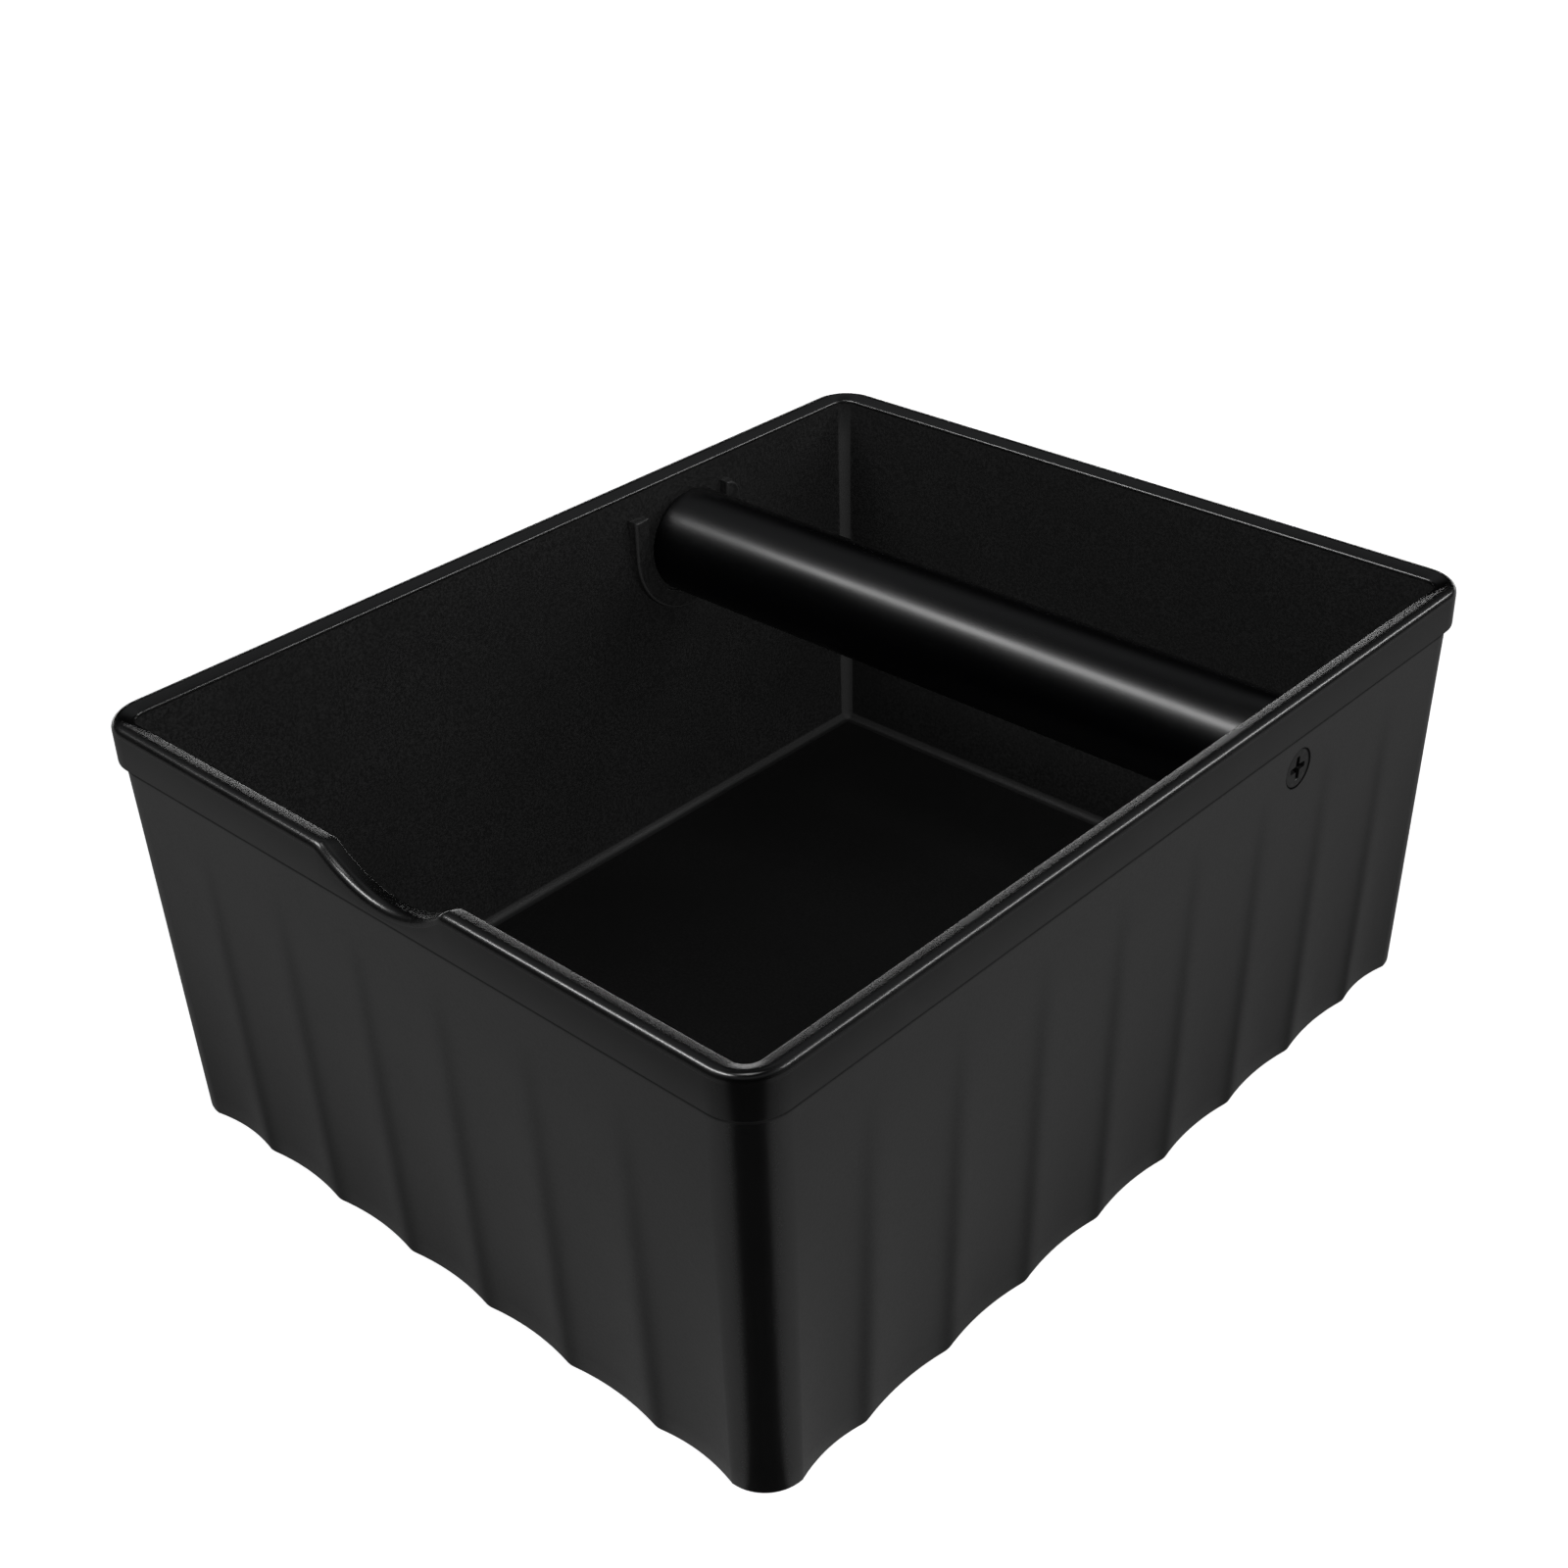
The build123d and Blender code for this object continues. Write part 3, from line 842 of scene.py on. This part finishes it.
def mark_edges(piece):
    """Store on each point its painted shade along the ridges and in the seam, and its painted edge
    light and shade: highlight on the inner edges, shade down the outer corners.
    """
    into_floor = 0.5
    into_wall = 0.6
    lip_bottom = HEIGHT - 2 * BAND_TOP_ROUND
    mesh = piece.data
    painted_ridge_seam_shade = mesh.attributes.new("painted_ridge_seam_shade", "FLOAT", "POINT")
    painted_edge_light_and_shade = mesh.attributes.new("painted_edge_light_and_shade", "FLOAT", "POINT")
    for index, vertex in enumerate(mesh.vertices):
        x, y, z = vertex.co / MM
        cavity_x, cavity_y = cavity_half_sizes(z)
        within_walls = abs(x) < cavity_x + into_wall and abs(y) < cavity_y + into_wall
        inside = within_walls and z > FLOOR_TOP - into_floor
        # Inside: painted highlight on the rounded edges. Outside: painted shade down the corners,
        # along the ridges and in the seam.
        if inside and z < lip_bottom:
            painted_edge_light_and_shade.data[index].value = inner_edge_highlight(x, y, z)
        elif not inside:
            painted_edge_light_and_shade.data[index].value = outer_corner_shade(x, y, z)
            painted_ridge_seam_shade.data[index].value = ridge_and_seam_shade(x, y, z)


def make_bin():
    """The whole bin: shell, cradles, foot rings, screw holes, and its painted edge light and shade.
    """
    band = rim_plastic("abs_band", roughness=0.285, specular=0.30)
    lip = rim_plastic("abs_lip", roughness=0.26, specular=0.45)
    inside = inner_plastic("abs_inner", shade=1.0, specular=0.4)
    # The floor's material is the inside's, a little darker as painted shade for the floor, and with
    # less specular.
    floor = inner_plastic("abs_inner_floor", shade=0.95, specular=0.1)
    materials = [outer_plastic(), band, lip, inside, floor]
    shell = bin_shell(materials)
    for side in (1, -1):
        cut_or_join(shell, cradle(side, materials), "UNION")
        cut_or_join(shell, screw_hole(side), "DIFFERENCE")
    for node in FOOT_NODES:
        cut_or_join(shell, foot_ring(node, materials), "UNION")
    smooth_by_angle(shell)
    mark_edges(shell)
    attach(shell, "box")
    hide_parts("bin_body")


# ---- The bar, screws and feet ------------------------------------------------------------------
def make_sleeve():
    """The bar's rubber sleeve: a thick tube with well rounded ends."""
    low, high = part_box("bar_rubber_sleeve")
    half = (high[0] - low[0]) / 2 / MM
    end_round = 1.6
    bore = 8.0
    bore_edge = 0.4
    right = [(bore, half - bore_edge), (bore + bore_edge, half)]
    right += arc_points((SLEEVE_RADIUS - end_round, half - end_round), end_round, 90, 0, 8)
    levels = 20
    body = [(SLEEVE_RADIUS, half * (1 - 2 * level / levels)) for level in range(1, levels)]
    left = [(r, -z) for r, z in reversed(right)]
    rings = laid_on_bar_axis(lathe(right + body + left, sides=2 * TURNED_SIDES))
    points, faces = join_rings(rings + rings[:1], cap_first=False, cap_last=False)
    piece = new_object("bar_sleeve_visual", points, flipped(faces), [sleeve_rubber()])
    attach(piece, "knock_bar")
    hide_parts("bar_rubber_sleeve")


def recess_tool():
    """Cross-shaped tapered tool for a screw's recess, its mouth just above z = 0."""
    half_span = 2.4
    half_arm = 0.55
    corner = 0.18
    # The share of full size and the height of each level.
    mouth = (1.06, 0.2)
    face = (1.0, 0.0)
    bottom = (0.45, -1.7)
    tip = (0.1, -2.05)
    quarter = [(half_arm, half_arm + corner)]
    quarter += [(half_arm, half_span - corner), (half_arm - corner, half_span)]
    quarter += [(-half_arm + corner, half_span), (-half_arm, half_span - corner)]
    quarter += [(-half_arm - corner, half_arm)]
    cross = []
    for turn in range(4):
        for x, y in quarter:
            for _ in range(turn):
                x, y = -y, x
            cross.append((x, y))
    levels = (mouth, face, bottom, tip)
    rings = [[(x * scale, y * scale, z) for x, y in cross] for scale, z in levels]
    points, faces = join_rings(rings)
    return new_object("recess_tool", points, flipped(faces), [])


def make_screw(node, side, material):
    """A countersunk cross-recess screw with softened edges and a rolled thread."""
    face_rings = (0.6, 2.6)
    edge = 0.12
    edge_bulge = 0.03
    plain_shank = 0.8
    thread_pitch = 0.7
    thread_depth = 0.3
    end_bevel = 0.5
    end_ring = 0.3
    cone_end = -HEAD_RIM - (HEAD_RADIUS - SCREW_RADIUS)
    profile = [(radius, 0.0) for radius in face_rings]
    profile += [(HEAD_RADIUS - edge, 0.0), (HEAD_RADIUS - edge_bulge, -edge_bulge)]
    profile += [(HEAD_RADIUS, -edge), (HEAD_RADIUS, -HEAD_RIM), (SCREW_RADIUS, cone_end)]
    z = cone_end - plain_shank
    while z > -SCREW_LENGTH + 2 * thread_pitch:
        profile += [(SCREW_RADIUS, z), (SCREW_RADIUS - thread_depth, z - thread_pitch / 2)]
        z -= thread_pitch
    profile += [(SCREW_RADIUS, z), (SCREW_RADIUS - end_bevel, -SCREW_LENGTH)]
    profile.append((end_ring, -SCREW_LENGTH))
    points, faces = join_rings(lathe(profile))
    piece = new_object(f"{node}_visual", points, flipped(faces), [material])
    cut_or_join(piece, recess_tool(), "DIFFERENCE")
    turn = Matrix.Rotation(side * QUARTER, 4, "Y")
    place = Matrix.Translation(Vector((side * SCREW_FACE_X, BAR_Y, BAR_Z)) * MM)
    piece.data.transform(place @ turn)
    smooth_by_angle(piece)
    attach(piece, "knock_bar")
    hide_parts(node)


def make_foot(node, material):
    """A stick-on rubber foot: a dished face inside a rounded tread ring."""
    # The dish's radii and heights, from its middle out to the tread.
    dish = ((0.5, 0.45), (4.6, 0.45), (5.2, 0.32), (5.6, 0.06), (5.9, 0.0))
    edge = 0.7
    top_bevel = 0.1
    low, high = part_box(node)
    x = (low[0] + high[0]) / 2 / MM
    y = (low[1] + high[1]) / 2 / MM
    height = (high[2] - low[2]) / MM
    profile = [*dish, (FOOT_RADIUS - edge, 0.0)]
    profile += arc_points((FOOT_RADIUS - edge, edge), edge, 270, 360, 6)[1:]
    profile += [(FOOT_RADIUS, height - top_bevel), (FOOT_RADIUS - top_bevel, height)]
    points, faces = join_rings(moved(lathe(profile), x, y))
    piece = new_object(f"{node}_visual", points, faces, [material])
    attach(piece, "box")
    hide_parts(node)


def give_material(node, material):
    """A CAD node's own mesh keeps its shape and gets a better material."""
    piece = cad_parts[node]
    if not piece.material_slots:
        piece.data.materials.append(material)
    for slot in piece.material_slots:
        slot.material = material


# ---- Camera, floor and light -------------------------------------------------------------------
CAMERA_AZIMUTH = math.radians(43.727)
CAMERA_ELEVATION = math.radians(31.488)
CAMERA_ROLL = math.radians(-2.053)
CAMERA_DISTANCE = 0.43128
CAMERA_TARGET = Vector((0, 0, 0.04406))
# How far the camera then moves to its own right and up.
CAMERA_RIGHT = -0.005634
CAMERA_UP = 0.011794
CAMERA_LENS = 50.9

FLOOR_HALF_SIZE = 6.0


def make_camera():
    """The camera: close to the box, in front of its +X, -Y corner."""
    level = math.cos(CAMERA_ELEVATION)
    back = Vector((math.sin(CAMERA_AZIMUTH) * level, -math.cos(CAMERA_AZIMUTH) * level,
                   math.sin(CAMERA_ELEVATION)))
    flat_right = Vector((0, 0, 1)).cross(back).normalized()
    flat_up = back.cross(flat_right)
    right = math.cos(CAMERA_ROLL) * flat_right + math.sin(CAMERA_ROLL) * flat_up
    up = -math.sin(CAMERA_ROLL) * flat_right + math.cos(CAMERA_ROLL) * flat_up
    place = CAMERA_TARGET + back * CAMERA_DISTANCE + right * CAMERA_RIGHT + up * CAMERA_UP
    data = bpy.data.cameras.new("camera")
    data.lens = CAMERA_LENS
    camera = bpy.data.objects.new("camera", data)
    bpy.context.scene.collection.objects.link(camera)
    turn = Matrix((right, up, back)).transposed().to_4x4()
    camera.matrix_world = Matrix.Translation(place) @ turn
    bpy.context.scene.camera = camera


def by_direction(graph, centre, from_cosine, to_cosine, first, second):
    """A number by direction from centre, level with the floor: it goes from first to second as the
    cosine of the angle to the studio's front, seen from above, goes from one cosine to the other."""
    front = (math.sin(CAMERA_AZIMUTH), -math.cos(CAMERA_AZIMUTH), 0)
    relative = graph.vector_math("SUBTRACT", graph.position, centre)
    level = graph.vector_math("MULTIPLY", relative, (1, 1, 0))
    direction = graph.vector_math("NORMALIZE", level)
    cosine = graph.vector_math("DOT_PRODUCT", direction, front)
    return graph.spread(cosine, from_cosine, to_cosine, first, second)


def make_floor():
    """A large plain pale floor, softly lit from within. In reflections it is the studio's dimmer
    surroundings: dark in front of the box's front corner, bright beside it, a little dimmer behind
    it, and bright again far behind the box."""
    graph = Surface("floor_white")
    graph.shader.inputs["Base Color"].default_value = (0.86, 0.86, 0.86, 1)
    graph.shader.inputs["Roughness"].default_value = 0.9
    graph.shader.inputs["Specular IOR Level"].default_value = 0.1
    graph.shader.inputs["Emission Color"].default_value = (1, 1, 1, 1)
    graph.shader.inputs["Emission Strength"].default_value = 0.85

    box_corner = ((WALL_TOP_X - BAND_RADIUS) * MM, -(WALL_TOP_Y - BAND_RADIUS) * MM, 0)
    beside = by_direction(graph, box_corner, -0.65, -0.42, 0.62, 1.0)
    in_front = by_direction(graph, box_corner, 0.75, 0.88, 0.255, 0.02)
    near = graph.math("MULTIPLY", beside, in_front)
    behind = by_direction(graph, (0, 0, 0), -0.8, -0.35, 1.0, 0.0)
    distance = graph.vector_math("LENGTH", graph.position)
    far_behind = graph.math("MULTIPLY", behind, graph.spread(distance, 0.24, 0.34, 0.0, 1.0))

    reflected = graph.nodes.new("ShaderNodeEmission")
    graph.connect(reflected.inputs["Strength"], graph.math("ADD", near, far_behind))
    path = graph.nodes.new("ShaderNodeLightPath")
    choose = graph.nodes.new("ShaderNodeMixShader")
    graph.connect(choose.inputs[0], path.outputs["Is Glossy Ray"])
    graph.connect(choose.inputs[1], graph.shader.outputs["BSDF"])
    graph.connect(choose.inputs[2], reflected.outputs["Emission"])
    graph.connect(graph.nodes["Material Output"].inputs["Surface"], choose.outputs["Shader"])

    size = FLOOR_HALF_SIZE
    mesh = bpy.data.meshes.new("floor")
    corners = [(-size, -size, 0), (size, -size, 0), (size, size, 0), (-size, size, 0)]
    mesh.from_pydata(corners, [], [(0, 1, 2, 3)])
    mesh.materials.append(graph.material)
    floor = bpy.data.objects.new("floor", mesh)
    bpy.context.scene.collection.objects.link(floor)


def area_light(name, place, target, size, power, long_axis, seen_by):
    """A soft light at place that points at target, in metres and watts, its longer side along an
    axis, and not seen by the camera itself.

    seen_by is the one kind of shading it takes part in, "highlights" or "diffuse", or "both". A
    light for diffuse shading alone casts no shadows."""
    data = bpy.data.lights.new(name, "AREA")
    data.shape = "RECTANGLE"
    data.size, data.size_y = size
    data.energy = power
    light = bpy.data.objects.new(name, data)
    bpy.context.scene.collection.objects.link(light)
    back = (Vector(place) - Vector(target)).normalized()
    across = Vector(long_axis) - Vector(long_axis).dot(back) * back
    across.normalize()
    turn = Matrix((across, back.cross(across), back)).transposed().to_4x4()
    light.matrix_world = Matrix.Translation(Vector(place)) @ turn
    light.visible_camera = False
    light.visible_diffuse = seen_by != "highlights"
    light.visible_glossy = seen_by != "diffuse"
    data.use_shadow = seen_by != "diffuse"


def make_world():
    """A band of dim bluish light high up all round; white to the eye."""
    world = bpy.data.worlds.new("studio")
    bpy.context.scene.world = world
    world.use_nodes = True
    graph = NodeGraph(world.node_tree)
    background = graph.nodes["Background"]
    background.inputs["Color"].default_value = (0.95, 0.97, 1.0, 1)
    height = graph.component("Z", graph.coordinates.outputs["Generated"])
    rising = graph.spread(height, 0.45, 0.78, 0.0, 0.30)
    falling = graph.spread(height, 0.80, 0.90, 1.0, 0.05)
    band = graph.math("MULTIPLY", rising, falling)
    path = graph.nodes.new("ShaderNodeLightPath")
    strength = graph.math("MAXIMUM", band, path.outputs["Is Camera Ray"])
    graph.connect(background.inputs["Strength"], strength)


def make_lights():
    """The studio's soft lights: strips for the highlights, wide fills for the shading."""
    bar_top = (0, 0.04, 0.08)
    rim_right = (0.08, 0, 0.088)
    middle = (0, 0, 0.04)
    area_light("left_strip", place=(-0.36, -0.48, 0.97), target=bar_top, size=(0.8, 0.14),
               power=10.0, long_axis=(1, 0, 0), seen_by="highlights")
    area_light("rear_strip", place=(0.62, 0.78, 0.80), target=rim_right, size=(0.8, 0.12),
               power=5.0, long_axis=(0, 1, 0), seen_by="highlights")
    area_light("right_fill", place=(1.2, 0.0, 0.35), target=middle, size=(1.3, 0.8),
               power=11, long_axis=(0, 1, 0), seen_by="diffuse")
    area_light("front_fill", place=(0.0, -1.2, 0.35), target=middle, size=(1.3, 0.8),
               power=3, long_axis=(1, 0, 0), seen_by="diffuse")
    area_light("top_spot", place=(0.07, -0.07, 1.2), target=middle, size=(0.3, 0.3),
               power=1.6, long_axis=(1, 0, 0), seen_by="highlights")
    area_light("low_strip", place=(-1.03, 1.08, 0.13), target=(0, 0, 0.13), size=(3.6, 0.075),
               power=5.9, long_axis=(0.72, 0.69, 0), seen_by="both")


# ---- Everything --------------------------------------------------------------------------------
make_camera()
make_floor()
make_world()
make_lights()
bpy.context.scene.view_settings.view_transform = "Standard"

make_bin()
make_sleeve()
screw_material = black_oxide()
make_screw("bar_screw_right", 1, screw_material)
make_screw("bar_screw_left", -1, screw_material)
foot_material = foot_rubber()
for foot_node in FOOT_NODES:
    make_foot(foot_node, foot_material)
give_material("bar_core_tube", zinc_steel())
brass = turned_brass()
give_material("bar_end_plug_left", brass)
give_material("bar_end_plug_right", brass)
